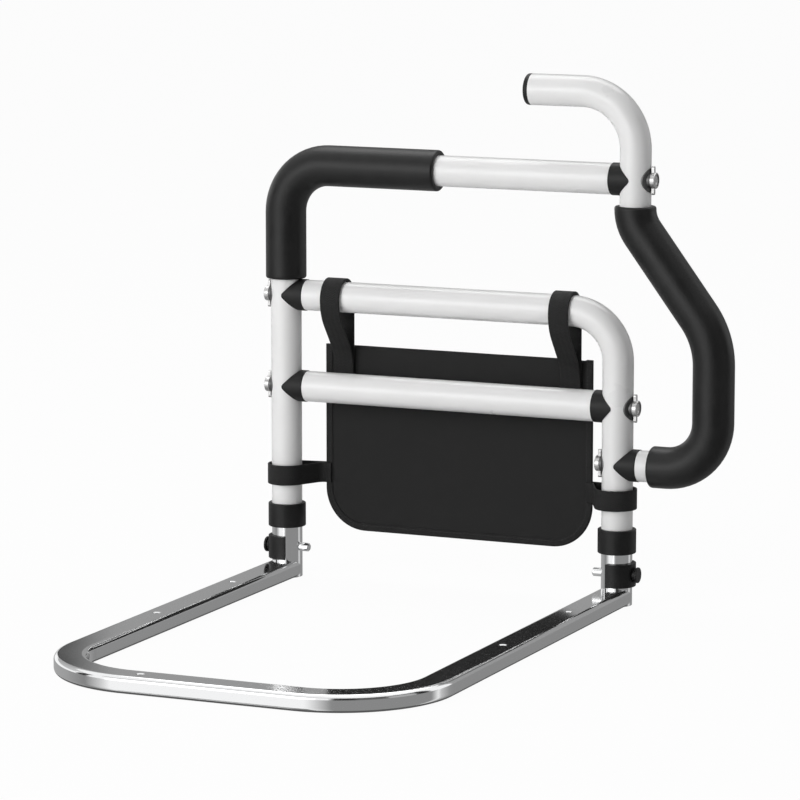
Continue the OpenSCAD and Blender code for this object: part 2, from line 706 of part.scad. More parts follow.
// Hanging strap, seen along the rail: sewn to the pouch, up its back, over the rail and down in an S
// The loop rests on the rail's crown and stands off its sides
strap_loop_z = mid_rail_z + tube_r + free_gap - strap_r + strap_t / 2;
strap_lay_y = pouch_y - lay_gap - strap_t / 2;
strap_front_end_y = strap_lay_y - strap_t - lay_gap;
strap_step = strap_front_end_y + strap_r - 2 * strap_bend_r * (1 - cos(strap_lean));
function hanging_path() = concat(
  [[strap_lay_y, pouch_top_z - strap_lap], [strap_lay_y, pouch_top_z]],
  arc([0, strap_loop_z], strap_r, 0, 180, 20),
  strap_front_leg(strap_loop_z)
);
function strap_front_leg(z) =
  let (
    c1 = [-strap_r + strap_bend_r, z],
    first = strap_lean / 8,
    upper = arc(c1, strap_bend_r, 180 + first, 180 + strap_lean, 7),
    knee = upper[7],
    knee_low = knee + [strap_step, -strap_step / tan(strap_lean)],
    c2 = knee_low - strap_bend_r * [cos(strap_lean), sin(strap_lean)],
    lower = arc(c2, strap_bend_r, strap_lean, 0, 8)
  )
  concat(upper, lower, [lower[8] - [0, strap_tail]]);

module hanging_strap(side) color([0.14, 0.14, 0.14])
  translate([side * strap_x - strap_w / 2, 0, 0]) rotate([90, 0, 90]) linear_extrude(strap_w)
    webbing(hanging_path(), strap_t);

// Side strap, seen from above at the right leg: from the pouch's face round the upright to its back
// It lies flat at both ends, leaves the face in a small bend and meets the back in a wide one
function side_path() =
  let (
    edge = pouch_x - leg_x,
    end = edge - side_strap_end,
    c1 = [edge - side_strap_flat, strap_lay_y - side_strap_bend_r],
    down = heading(c1, [0, 0]) - asin((side_strap_r + side_strap_bend_r) / norm(c1)),
    back_y = pouch_y + pouch_edge_t + lay_gap + strap_t / 2,
    c2 = [edge + side_strap_flat, back_y - side_strap_r],
    leave = heading([0, 0], c2) - 90
  )
  concat(
    [[end, strap_lay_y]], arc(c1, side_strap_bend_r, 90, down + 90, 6),
    arc([0, 0], side_strap_r, down - 90, leave, 32), arc(c2, side_strap_r, leave, 90, 3), [[end, back_y]]
  );

module side_strap() color([0.14, 0.14, 0.14]) translate([0, 0, side_strap_z])
  linear_extrude(side_strap_h) webbing(side_path(), strap_t);

base_tube();
at_leg(-1) post();  // left_post
at_leg(1) post();  // right_post
at_leg(-1) foot_plug();  // left_foot_plug
at_leg(1) foot_plug();  // right_foot_plug
at_leg(-1) collar();  // left_collar
at_leg(1) collar();  // right_collar
at_leg(-1) lock_pin();  // left_lock_pin
at_leg(-1) lock_knob();  // left_lock_knob
at_leg(-1) lock_clip();  // left_lock_clip
at_leg(1) lock_pin();  // right_lock_pin
at_leg(1) lock_knob();  // right_lock_knob
at_leg(1) lock_clip();  // right_lock_clip
at_leg(-1) stem();  // left_stem
at_leg(1) stem();  // right_stem
top_rail_tube();
mid_rail_tube();
low_rail_tube();
handle_tube();
top_foam_sleeve();
grip_foam_sleeve();
handle_end_plug();
at_joint(mid_left) saddle();  // saddle_mid_left
at_joint(low_left) saddle();  // saddle_low_left
at_joint(low_right) saddle();  // saddle_low_right
at_joint(top_right) saddle();  // saddle_top_right
at_joint(grip_foot) saddle();  // saddle_grip_foot
for (j = joints) at_joint(j) joint_bolt();  // joint_bolts
for (j = joints) at_joint(j) saddle_washer();  // saddle_washers
at_joint(mid_left) wing_nut();  // wing_nut_mid_left
at_joint(low_left) wing_nut();  // wing_nut_low_left
at_joint(low_right) wing_nut();  // wing_nut_low_right
at_joint(top_right) wing_nut();  // wing_nut_top_right
at_joint(grip_foot) wing_nut();  // wing_nut_grip_foot
pouch_front_panel();
pouch_back_panel();
pouch_binding();
hanging_strap(-1);  // left_hanging_strap
hanging_strap(1);  // right_hanging_strap
at_leg(-1) side_strap();  // left_side_strap
at_leg(1) side_strap();  // right_side_strap
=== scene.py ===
from math import acos, asin, atan2, cos, degrees, pi, radians, sin, sqrt

import bmesh
import bpy
from mathutils import Matrix, Vector, noise


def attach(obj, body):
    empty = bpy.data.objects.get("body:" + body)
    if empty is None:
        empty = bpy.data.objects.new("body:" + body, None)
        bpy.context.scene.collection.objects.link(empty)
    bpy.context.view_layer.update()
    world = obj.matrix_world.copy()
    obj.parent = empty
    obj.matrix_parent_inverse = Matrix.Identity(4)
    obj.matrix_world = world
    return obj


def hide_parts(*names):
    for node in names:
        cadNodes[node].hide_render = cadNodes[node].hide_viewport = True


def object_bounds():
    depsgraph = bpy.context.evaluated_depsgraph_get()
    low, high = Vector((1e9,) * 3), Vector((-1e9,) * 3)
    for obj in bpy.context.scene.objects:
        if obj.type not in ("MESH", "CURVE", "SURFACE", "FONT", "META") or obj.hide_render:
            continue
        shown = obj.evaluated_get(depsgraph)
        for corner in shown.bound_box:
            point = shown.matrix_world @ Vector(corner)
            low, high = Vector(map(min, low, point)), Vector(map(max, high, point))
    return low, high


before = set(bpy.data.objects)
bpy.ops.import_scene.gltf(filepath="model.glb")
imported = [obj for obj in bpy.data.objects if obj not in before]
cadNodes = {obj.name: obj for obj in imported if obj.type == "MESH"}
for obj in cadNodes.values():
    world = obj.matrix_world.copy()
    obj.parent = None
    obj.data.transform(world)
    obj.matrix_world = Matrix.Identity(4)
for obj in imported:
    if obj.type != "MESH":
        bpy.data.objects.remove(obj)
cadLow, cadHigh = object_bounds()
mm = 0.001
across, backwards, upwards = Vector((1, 0, 0)), Vector((0, 1, 0)), Vector((0, 0, 1))
white = (1, 1, 1, 1)

# Camera

cameraValues = {
    "place": (1.5496, -3.5987, 0.7982),
    "tilt": 81.006,
    "turn": 23.965,
    "lens": 193.45,
}


def makeCamera():
    values = cameraValues
    data = bpy.data.cameras.new("camera")
    data.lens = values["lens"]
    data.sensor_width = 36
    data.clip_start, data.clip_end = 0.1, 60
    camera = bpy.data.objects.new("camera", data)
    bpy.context.scene.collection.objects.link(camera)
    camera.location = values["place"]
    camera.rotation_euler = (radians(values["tilt"]), 0, radians(values["turn"]))
    bpy.context.scene.camera = camera


makeCamera()
print("camera set")

# Small helpers for materials


def newMaterial(name):
    material = bpy.data.materials.new(name)
    material.use_nodes = True
    return material, material.node_tree, material.node_tree.nodes["Principled BSDF"]


def addNode(tree, kind, inputs=None, **values):
    node = tree.nodes.new("ShaderNode" + kind)
    for key, value in values.items():
        setattr(node, key, value)
    for key, value in (inputs or {}).items():
        if isinstance(value, bpy.types.NodeSocket):
            tree.links.new(value, node.inputs[key])
        else:
            node.inputs[key].default_value = value
    return node


def objectPoint(tree):
    return addNode(tree, "TexCoord").outputs["Object"]


def noiseValue(tree, point, scale, detail=3, roughness=0.5):
    inputs = {"Vector": point, "Scale": scale, "Detail": detail, "Roughness": roughness}
    return addNode(tree, "TexNoise", inputs).outputs["Fac"]


def valueRange(tree, value, low, high, toLow, toHigh):
    inputs = {"Value": value, "From Min": low, "From Max": high, "To Min": toLow, "To Max": toHigh}
    return addNode(tree, "MapRange", inputs).outputs["Result"]


def maths(tree, operation, a, b=0.5):
    return addNode(tree, "Math", {0: a, 1: b}, operation=operation).outputs[0]


def greyRamp(tree, value, stops):
    node = addNode(tree, "ValToRGB", {"Fac": value})
    elements = node.color_ramp.elements
    while len(elements) < len(stops):
        elements.new(0.5)
    for element, (place, colour) in zip(elements, stops):
        element.position = place
        element.color = (*colour, 1)
    return node.outputs["Color"]


def grey(value, warmth=0.0):
    return (value * (1 + warmth), value, value * (1 - warmth))


def bumpNormal(tree, height, distance, strength=1.0):
    inputs = {"Height": height, "Distance": distance, "Strength": strength}
    return addNode(tree, "Bump", inputs).outputs["Normal"]


def mottled(tree, values, pattern, low, high):
    # From the dark to the light grey where the pattern goes from low to high
    return greyRamp(tree, pattern, [(low, grey(values["dark"])), (high, grey(values["light"]))])


def mottledRoughness(tree, values, pattern):
    return valueRange(tree, pattern, 0.3, 0.7, *values["roughness"])


def setShader(tree, shader, values):
    for key, value in values.items():
        if isinstance(value, bpy.types.NodeSocket):
            tree.links.new(value, shader.inputs[key])
        else:
            shader.inputs[key].default_value = value


# Metals, paint and plastic

chromeValues = {
    "tint": (0.885, 0.89, 0.895),
    "roughness": (0.088, 0.108),
    "smearSize": 16,
    "waveSize": 12,
    "waveDepth": 0.00002,
    "waveStrength": 0.6,
}


def chromeMaterial():
    values = chromeValues
    material, tree, shader = newMaterial("chromePlating")
    point = objectPoint(tree)
    smears = noiseValue(tree, point, values["smearSize"], 2)
    waves = noiseValue(tree, point, values["waveSize"], 1)
    low, high = values["roughness"]
    setShader(tree, shader, {
        "Base Color": (*values["tint"], 1),
        "Metallic": 1,
        "Roughness": valueRange(tree, smears, 0.35, 0.75, low, high),
        "Normal": bumpNormal(tree, waves, values["waveDepth"], values["waveStrength"]),
    })
    return material


enamelValues = {
    "light": 0.87,
    "shade": 0.85,
    "roughness": (0.27, 0.31),
    "coat": 0.35,
    "coatRoughness": 0.14,
    "cloudSize": 14,
    "peelSize": 620,
    "peelDepth": 0.00002,
}


def enamelMaterial():
    values = enamelValues
    material, tree, shader = newMaterial("whitePowderCoat")
    point = objectPoint(tree)
    cloud = noiseValue(tree, point, values["cloudSize"], 4)
    peel = noiseValue(tree, point, values["peelSize"], 2)
    shades = [(0.3, grey(values["shade"], 0.004)), (0.6, grey(values["light"], 0.002))]
    low, high = values["roughness"]
    setShader(tree, shader, {
        "Base Color": greyRamp(tree, cloud, shades),
        "Roughness": valueRange(tree, cloud, 0.3, 0.7, high, low),
        "Coat Weight": values["coat"],
        "Coat Roughness": values["coatRoughness"],
        "Normal": bumpNormal(tree, peel, values["peelDepth"]),
    })
    return material


plasticValues = {
    "dark": 0.008,
    "light": 0.013,
    "roughness": (0.36, 0.5),
    "gloss": 0.28,
    "cloudSize": 60,
    "grainSize": 1500,
    "grainDepth": 0.00003,
}


def plasticMaterial():
    values = plasticValues
    material, tree, shader = newMaterial("blackMouldedPlastic")
    point = objectPoint(tree)
    cloud = noiseValue(tree, point, values["cloudSize"], 4, 0.6)
    grain = noiseValue(tree, point, values["grainSize"], 3)
    setShader(tree, shader, {
        "Base Color": mottled(tree, values, cloud, 0.35, 0.7),
        "Roughness": mottledRoughness(tree, values, cloud),
        "Specular IOR Level": values["gloss"],
        "Normal": bumpNormal(tree, grain, values["grainDepth"]),
    })
    return material


zincValues = {
    "dark": 0.5,
    "light": 0.72,
    "roughness": (0.2, 0.42),
    "spangleSize": 420,
    "grainSize": 1300,
    "grainDepth": 0.00002,
}


def zincMaterial():
    values = zincValues
    material, tree, shader = newMaterial("zincPlatedSteel")
    point = objectPoint(tree)
    spangle = addNode(tree, "TexVoronoi", {"Vector": point, "Scale": values["spangleSize"]}).outputs["Color"]
    grain = noiseValue(tree, point, values["grainSize"], 4, 0.6)
    shades = [(0.1, grey(values["dark"], 0.01)), (0.9, grey(values["light"]))]
    setShader(tree, shader, {
        "Base Color": greyRamp(tree, spangle, shades),
        "Metallic": 1,
        "Roughness": mottledRoughness(tree, values, grain),
        "Normal": bumpNormal(tree, grain, values["grainDepth"]),
    })
    return material


darkSteelValues = {
    "dark": 0.1,
    "light": 0.2,
    "roughness": (0.35, 0.5),
    "grainSize": 900,
    "grainDepth": 0.00002,
}


def darkSteelMaterial():
    values = darkSteelValues
    material, tree, shader = newMaterial("darkSteel")
    point = objectPoint(tree)
    grain = noiseValue(tree, point, values["grainSize"], 4, 0.6)
    setShader(tree, shader, {
        "Base Color": mottled(tree, values, grain, 0.3, 0.7),
        "Metallic": 1,
        "Roughness": mottledRoughness(tree, values, grain),
        "Normal": bumpNormal(tree, grain, values["grainDepth"]),
    })
    return material


# Foam and cloth

foamMaterialValues = {
    "dark": 0.008,
    "light": 0.013,
    "roughness": (0.31, 0.4),
    "gloss": 0.33,
    "cloudSize": 45,
    "cellSize": 900,
    "fineSize": 2600,
    "cellDepth": 0.00006,
}


def foamMaterial():
    values = foamMaterialValues
    material, tree, shader = newMaterial("blackFoam")
    point = objectPoint(tree)
    cells = addNode(tree, "TexVoronoi", {"Vector": point, "Scale": values["cellSize"]}).outputs["Distance"]
    cloud = noiseValue(tree, point, values["cloudSize"], 5, 0.6)
    fine = noiseValue(tree, point, values["fineSize"], 3)
    setShader(tree, shader, {
        "Base Color": mottled(tree, values, cloud, 0.3, 0.7),
        "Roughness": mottledRoughness(tree, values, cloud),
        "Specular IOR Level": values["gloss"],
        "Normal": bumpNormal(tree, maths(tree, "ADD", cells, fine), values["cellDepth"]),
    })
    return material


clothValues = {
    "dark": 0.0085,
    "light": 0.0225,
    "roughness": (0.62, 0.74),
    "gloss": 0.2,
    "sheen": 0.04,
    "sheenRoughness": 0.4,
    "cloudSize": 30,
    "thread": 0.0011,
    "fineSize": 1800,
    "depth": 0.00013,
}


def weaveHeight(tree, first, second, pitch):
    # A plain weave: warp and weft cross over each other at every thread
    a = maths(tree, "SINE", maths(tree, "MULTIPLY", first, 2 * pi / pitch))
    b = maths(tree, "SINE", maths(tree, "MULTIPLY", second, 2 * pi / pitch))
    return valueRange(tree, maths(tree, "MULTIPLY", a, b), -1, 1, 0, 1)


def clothMaterial():
    values = clothValues
    material, tree, shader = newMaterial("blackWovenCloth")
    point = objectPoint(tree)
    parts = addNode(tree, "SeparateXYZ", {"Vector": point})
    weave = weaveHeight(tree, parts.outputs["X"], parts.outputs["Z"], values["thread"])
    cloud = noiseValue(tree, point, values["cloudSize"], 5, 0.6)
    fine = noiseValue(tree, point, values["fineSize"], 2)
    height = maths(tree, "ADD", weave, maths(tree, "MULTIPLY", fine, 0.5))
    # Painted shade: darker in the weave's hollows and lighter on the thread crossings, plus random tone from
    # the cloud
    hollowShadeAndTone = maths(tree, "ADD", maths(tree, "MULTIPLY", weave, 0.6), maths(tree, "MULTIPLY", cloud, 0.4))
    setShader(tree, shader, {
        "Base Color": mottled(tree, values, hollowShadeAndTone, 0.15, 0.85),
        "Roughness": mottledRoughness(tree, values, cloud),
        "Specular IOR Level": values["gloss"],
        "Sheen Weight": values["sheen"],
        "Sheen Roughness": values["sheenRoughness"],
        "Normal": bumpNormal(tree, height, values["depth"]),
    })
    return material


webbingValues = {
    "dark": 0.007,
    "light": 0.02,
    "roughness": (0.52, 0.66),
    "gloss": 0.25,
    "sheen": 0.03,
    "sheenRoughness": 0.4,
    "cloudSize": 120,
    "rib": 0.0015,
    "column": 0.0046,
    "slant": 0.45,
    "fineSize": 2400,
    "depth": 0.00022,
}


def webbingMaterial():
    # UV: x runs round the section and y along the strap, both in metres
    values = webbingValues
    material, tree, shader = newMaterial("blackWebbing")
    uv = addNode(tree, "UVMap", uv_map="alongStrap").outputs["UV"]
    parts = addNode(tree, "SeparateXYZ", {"Vector": uv})
    zigzag = maths(tree, "PINGPONG", parts.outputs["X"], values["column"] / 2)
    slanted = maths(tree, "ADD", parts.outputs["Y"], maths(tree, "MULTIPLY", zigzag, values["slant"]))
    ribs = maths(tree, "SINE", maths(tree, "MULTIPLY", slanted, 2 * pi / values["rib"]))
    cloud = noiseValue(tree, uv, values["cloudSize"], 4)
    fine = noiseValue(tree, uv, values["fineSize"], 2)
    height = maths(tree, "ADD", valueRange(tree, ribs, -1, 1, 0, 1), maths(tree, "MULTIPLY", fine, 0.5))
    # Painted shade: darker in the ribs' grooves and lighter on their crests, plus random tone from the cloud
    hollowShadeAndTone = maths(tree, "ADD", valueRange(tree, ribs, -1, 1, 0, 0.6), maths(tree, "MULTIPLY", cloud, 0.4))
    setShader(tree, shader, {
        "Base Color": mottled(tree, values, hollowShadeAndTone, 0.1, 0.9),
        "Roughness": mottledRoughness(tree, values, cloud),
        "Specular IOR Level": values["gloss"],
        "Sheen Weight": values["sheen"],
        "Sheen Roughness": values["sheenRoughness"],
        "Normal": bumpNormal(tree, height, values["depth"]),
    })
    return material


threadValues = {
    "dark": 0.012,
    "light": 0.034,
    "roughness": (0.4, 0.6),
    "twistSize": 3000,
    "depth": 0.00004,
}


def threadMaterial():
    values = threadValues
    material, tree, shader = newMaterial("blackThread")
    twist = noiseValue(tree, objectPoint(tree), values["twistSize"], 2)
    setShader(tree, shader, {
        "Base Color": mottled(tree, values, twist, 0.3, 0.7),
        "Roughness": mottledRoughness(tree, values, twist),
        "Normal": bumpNormal(tree, twist, values["depth"]),
    })
    return material


chrome = chromeMaterial()
enamel = enamelMaterial()
plastic = plasticMaterial()
zinc = zincMaterial()
darkSteel = darkSteelMaterial()
foam = foamMaterial()
cloth = clothMaterial()
webbing = webbingMaterial()
thread = threadMaterial()
print("materials made")

# The rigid parts keep their own shapes and get these finishes

finishOf = {
    chrome: ["left_post", "right_post", "left_lock_pin", "right_lock_pin", "left_stem", "right_stem"],
    enamel: ["top_rail_tube", "mid_rail_tube", "low_rail_tube", "handle_tube"],
    plastic: [
        "left_foot_plug", "right_foot_plug", "left_collar", "right_collar", "left_lock_knob",
        "right_lock_knob", "left_lock_clip", "right_lock_clip", "handle_end_plug", "saddle_mid_left",
        "saddle_low_left", "saddle_low_right", "saddle_top_right", "saddle_grip_foot",
    ],
    zinc: [
        "joint_bolts", "wing_nut_mid_left", "wing_nut_low_left", "wing_nut_low_right", "wing_nut_top_right",
        "wing_nut_grip_foot",
    ],
    darkSteel: ["saddle_washers"],
}
for material, names in finishOf.items():
    for name in names:
        slots = cadNodes[name].material_slots
        for slot in slots:
            slot.material = material
        if not slots:
            cadNodes[name].data.materials.append(material)
print("rigid parts finished")

# Shared ways of shaping


def objectFrom(bm, name):
    mesh = bpy.data.meshes.new(name)
    bm.to_mesh(mesh)
    bm.free()
    made = bpy.data.objects.new(name, mesh)
    bpy.context.scene.collection.objects.link(made)
    return made


def finishPiece(bm, name, material, body, replaced=()):
    bmesh.ops.recalc_face_normals(bm, faces=bm.faces)
    piece = objectFrom(bm, name)
    piece.data.materials.append(material)
    piece.data.shade_smooth()
    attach(piece, body)
    if replaced:
        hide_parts(*replaced)
    return piece


def roundedRoute(corners, radii, step):
    # Points in millimetres along straight runs and true bends, closely spaced on the bends
    places = [Vector(corners[0])]
    for before, corner, after, radius in zip(corners, corners[1:], corners[2:], radii):
        before, corner, after = Vector(before), Vector(corner), Vector(after)
        into, out = (corner - before).normalized(), (after - corner).normalized()
        angle = acos(max(-1, min(1, into.dot(out))))
        trim = radius * sin(angle / 2) / cos(angle / 2)
        start = corner - into * trim
        side = (out - into * into.dot(out)).normalized()
        centre = start + side * radius
        count = max(3, round(radius * angle / step))
        for stepsLeft in range(round((start - places[-1]).length / step), 1, -1):
            places.append(places[-1] + (start - places[-1]) / stepsLeft)
        places.append(start)
        for i in range(1, count + 1):
            turn = angle * i / count
            places.append(centre - side * radius * cos(turn) + into * radius * sin(turn))
    end = Vector(corners[-1])
    count = max(1, round((end - places[-1]).length / step))
    start = places[-1]
    places += [start + (end - start) * i / count for i in range(1, count + 1)]
    return places


def distances(places):
    run = [0.0]
    for a, b in zip(places, places[1:]):
        run.append(run[-1] + (b - a).length)
    return run


def stationAt(x, y, z, place):
    # A matrix in metres, from three axes and a place in millimetres
    station = Matrix((x, y, z)).transposed().to_4x4()
    station.translation = place * mm
    return station


def headings(places):
    last = len(places) - 1
    return [(places[min(i + 1, last)] - places[max(i - 1, 0)]).normalized() for i in range(last + 1)]


def stationsAlong(places, widthAxis):
    # One matrix a place: x along widthAxis, z along the route
    stations = []
    for place, z in zip(places, headings(places)):
        x = (widthAxis - z * widthAxis.dot(z)).normalized()
        stations.append(stationAt(x, z.cross(x), z, place))
    return stations


def startRing(bm, station, section):
    ring = [bm.verts.new(station @ Vector((x * mm, y * mm, 0))) for x, y in section]
    return ring, [bm.edges.new((a, b)) for a, b in zip(ring, ring[1:] + ring[:1])]


def closeEnds(bm, *ends):
    for edges in ends:
        bmesh.ops.holes_fill(bm, edges=edges, sides=0)


def sweepRing(bm, edges, stations, markAlong=None, alongLayer=None):
    for i in range(1, len(stations)):
        made = bmesh.ops.extrude_edge_only(bm, edges=edges)["geom"]
        ring = [part for part in made if isinstance(part, bmesh.types.BMVert)]
        edges = [part for part in made if isinstance(part, bmesh.types.BMEdge)]
        bmesh.ops.transform(bm, matrix=stations[i] @ stations[i - 1].inverted(), verts=ring)
        if alongLayer is not None:
            for vert in ring:
                vert[alongLayer] = markAlong[i]
    return edges


def roundedSection(width, thickness, radius, steps=3):
    # A flat strap's section, as points round it
    points = []
    for cx, cy, start in ((1, 1, 0), (-1, 1, 90), (-1, -1, 180), (1, -1, 270)):
        for i in range(steps + 1):
            turn = radians(start + 90 * i / steps)
            x = cx * (width / 2 - radius) + radius * cos(turn)
            y = cy * (thickness / 2 - radius) + radius * sin(turn)
            points.append((x, y))
    return points


def splitCreases(piece):
    crease = piece.modifiers.new("edgeSplit", "EDGE_SPLIT")
    crease.split_angle = radians(50)


def sweepStrap(name, node, section, places, widthAxis, thickening=None):
    stations = stationsAlong(places, widthAxis)
    if thickening:
        stations = [station @ Matrix.Diagonal((1, more, 1, 1)) for station, more in zip(stations, thickening)]
    bm = bmesh.new()
    roundLayer = bm.verts.layers.float.new("round")
    alongLayer = bm.verts.layers.float.new("along")
    ring, first = startRing(bm, stations[0], section)
    walked = distances([Vector((x, y, 0)) for x, y in section + section[:1]])
    for vert, far in zip(ring, walked):
        vert[roundLayer] = far * mm
    girth = walked[-1] * mm
    last = sweepRing(bm, first, stations, [far * mm for far in distances(places)], alongLayer)
    closeEnds(bm, first, last)
    uv = bm.loops.layers.uv.new("alongStrap")
    for face in bm.faces:
        # The last face round the section closes the loop, so its far side counts on past the girth
        wraps = max(v[roundLayer] for v in face.verts) - min(v[roundLayer] for v in face.verts) > girth / 2
        for loop in face.loops:
            x = loop.vert[roundLayer]
            if wraps and x < girth / 2 and len(face.verts) == 4:
                x += girth
            loop[uv].uv = (x, loop.vert[alongLayer])
    splitCreases(finishPiece(bm, name, webbing, "upper_frame", [node]))


# Base tube: the same shape as the part's, swept finely so that its edges mirror cleanly

baseValues = {
    "width": 28.6,
    "height": 15.4,
    "edgeRadius": 4.4,
    "wall": 1.5,
    "bend": 88.0,
    "legX": 166.3,
    "depth": 497.0,
    "start": -0.3,
    "step": 3.0,
    "straightStep": 60.0,
    "support": 0.4,
    "holes": [(-166.3, -118.5), (166.3, -118.5), (-166.3, -270), (166.3, -270), (-65, -497), (65, -497)],
    "holeRadius": 2.75,
    "sinkDepth": 1.0,
    "cutSides": 64,
    "cutPast": 1.0,
    "postRadius": 14.3,
}


def withSupports(section, inset):
    # Points just inside the ends of each flat side keep it flat when shaded smooth
    points = []
    for a, b in zip(section, section[1:] + section[:1]):
        points.append(a)
        length = sqrt((b[0] - a[0]) ** 2 + (b[1] - a[1]) ** 2)
        if length > 4 * inset:
            for part in (inset / length, 1 - inset / length):
                points.append((a[0] + (b[0] - a[0]) * part, a[1] + (b[1] - a[1]) * part))
    return points


def baseRoute(height):
    # Straight runs keep only a few of their places
    values = baseValues
    x, front, back = values["legX"], -values["depth"], values["start"]
    corners = [(-x, back, height), (-x, front, height), (x, front, height), (x, back, height)]
    places = roundedRoute(corners, [values["bend"]] * 2, values["step"])
    kept = places[:1]
    for before, place, after in zip(places, places[1:], places[2:]):
        turning = (place - before).angle(after - place) > 0.001
        if turning or (place - kept[-1]).length > values["straightStep"]:
            kept.append(place)
    return kept + places[-1:]


def addTurned(bm, centre, profile):
    # A closed solid of revolution about an upright axis, from (radius, height) points in millimetres
    stations = [
        Matrix.Translation((centre[0] * mm, centre[1] * mm, z * mm)) @ Matrix.Diagonal((r * mm, r * mm, 1, 1))
        for r, z in profile
    ]
    ring = bmesh.ops.create_circle(bm, segments=baseValues["cutSides"], radius=1, matrix=stations[0])["verts"]
    first = list({edge for vert in ring for edge in vert.link_edges})
    last = sweepRing(bm, first, stations)
    closeEnds(bm, first, last)


def cutAway(piece, cutters):
    # The cut is worked out once and kept as the piece's own mesh
    bmesh.ops.recalc_face_normals(cutters, faces=cutters.faces)
    tool = objectFrom(cutters, "cutter")
    cut = piece.modifiers.new("cut", "BOOLEAN")
    cut.object = tool
    cut.solver = "EXACT"
    shaped = piece.evaluated_get(bpy.context.evaluated_depsgraph_get())
    whole, piece.data = piece.data, bpy.data.meshes.new_from_object(shaped)
    piece.modifiers.clear()
    bpy.data.objects.remove(tool)
    bpy.data.meshes.remove(whole)
    piece.data.shade_smooth()
    piece.data.set_sharp_from_angle(angle=radians(30))


def baseTube():
    values = baseValues
    height, width, radius, wall = values["height"], values["width"], values["edgeRadius"], values["wall"]
    stations = stationsAlong(baseRoute(height / 2), upwards)
    bm = bmesh.new()
    ends = []
    for inset, steps in ((0, 12), (wall, 4)):
        section = roundedSection(height - 2 * inset, width - 2 * inset, radius - inset, steps)
        _, first = startRing(bm, stations[0], withSupports(section, values["support"]))
        ends.append((first, sweepRing(bm, first, stations)))
    for outer, inner in zip(*ends):
        bmesh.ops.triangle_fill(bm, edges=outer + inner, use_beauty=True)
    piece = finishPiece(bm, "baseTube", chrome, "base", ["base_tube"])
    cutters = bmesh.new()
    hole, sink, past = values["holeRadius"], values["sinkDepth"], values["cutPast"]
    drill = [(hole, -past), (hole, height - sink), (hole + sink + past, height + past)]
    for centre in values["holes"]:
        addTurned(cutters, centre, drill)
    post = values["postRadius"]
    for side in (-1, 1):
        addTurned(cutters, (side * values["legX"], 0), [(post, -past), (post, height + past)])
    cutAway(piece, cutters)


# Foam sleeves

sleeveValues = {
    "outer": 19.0,
    "inner": 14.35,
    "endRadius": 2.0,
    "lip": 0.8,
    "sides": 56,
    "step": 4.0,
    "unevenness": 0.12,
    "swellSizes": (55, 140),
}
routeOf = {
    "topFoamSleeve": {
        "corners": [(-166.3, 0, 283.2), (-166.3, 0, 390), (-10.5, 0, 390)],
        "radii": [44.5],
        "replaces": "top_foam_sleeve",
    },
    "gripFoamSleeve": {
        "corners": [
            (181.6, 0, 366.4), (181.6, 0, 351.8), (258.1, 0, 249.8), (258.1, 0, 129.6), (199.8, 0, 129.6),
        ],
        "radii": [36, 75, 44],
        "replaces": "grip_foam_sleeve",
    },
}


def placeAt(places, run, along):
    # The point a given way along the route, past the ends too
    i = 0
    while i < len(run) - 2 and run[i + 1] < along:
        i += 1
    step = places[i + 1] - places[i]
    return places[i] + step * ((along - run[i]) / (run[i + 1] - run[i]))


def foamSleeve(name, route):
    values = sleeveValues
    places = roundedRoute(route["corners"], route["radii"], values["step"])
    run = distances(places)
    length, outer, inner = run[-1], values["outer"], values["inner"]
    end, lip = values["endRadius"], values["lip"]
    # Once round the wall: out along the bore, over the end, back along the outside
    profile = [(along, inner) for along in run if lip < along < length - lip]
    bend = [radians(a) for a in (0, 30, 60, 90)]
    farEnd = [(length - lip + lip * sin(a), inner + lip - lip * cos(a)) for a in bend]
    farEnd += [(length - end + end * cos(a), outer - end + end * sin(a)) for a in bend]
    nearEnd = [(end - end * sin(a), outer - end + end * cos(a)) for a in bend]
    nearEnd += [(lip - lip * cos(a), inner + lip - lip * sin(a)) for a in bend]
    outside = [(along, outer) for along in reversed(run) if end < along < length - end]
    profile = profile + farEnd + outside + nearEnd + profile[:1]
    centres = [placeAt(places, run, along) for along, _ in profile]
    ahead = [placeAt(places, run, along + 0.5) - placeAt(places, run, along - 0.5) for along, _ in profile]
    stations = []
    for centre, heading, (_, radius) in zip(centres, ahead, profile):
        z = heading.normalized()
        x = backwards.cross(z).normalized()
        stations.append(stationAt(x, backwards, z, centre) @ Matrix.Scale(radius * mm, 4))
    bm = bmesh.new()
    bmesh.ops.create_circle(bm, segments=values["sides"], radius=1, matrix=stations[0])
    sweepRing(bm, list(bm.edges), stations)
    bmesh.ops.remove_doubles(bm, verts=bm.verts, dist=0.00002)
    coarse, fine = values["swellSizes"]
    for vert in bm.verts:
        swell = noise.noise(vert.co * coarse) + 0.5 * noise.noise(vert.co * fine)
        vert.co.y += vert.co.y * swell * values["unevenness"] / outer
    piece = finishPiece(bm, name, foam, "upper_frame", [route["replaces"]])


baseTube()
print("base tube made")
for name, route in routeOf.items():
    foamSleeve(name, route)
print("foam sleeves made")

# Pouch

pouchValues = {
    "halfWidth": 134.5,
    "bottom": 44.5,
    "top": 220.3,
    "corner": 40.0,
    "face": 18.2,
    "edge": 3.6,
    "back": 26.8,
    "tape": 7.0,
    "tapeThickness": 0.6,
    "clothThickness": 0.9,
    # How far the cloth lies inside the binding's outer edge and its face
    "clothInset": 1.2,
    "clothDepth": 1.15,
    "mouthDrop": 0.8,
    "gusset": 24.0,
    "trayInset": 7.3,
    "heldInset": 6,
    "heldRun": 30,
    # Soft folds as noise: width, height, draw and share. Slack: how far out, and how much it varies
    "frontFolds": [(70, 45, 0, 1), (26, 20, 3, 0.4)],
    "frontSlack": (0.35, 0.55),
    "backFolds": [(55, 40, 7, 1), (22, 17, 9, 0.5)],
    "backSlack": (-1.18, 0.7),
    "grid": (110, 72),
    "step": 3,
}


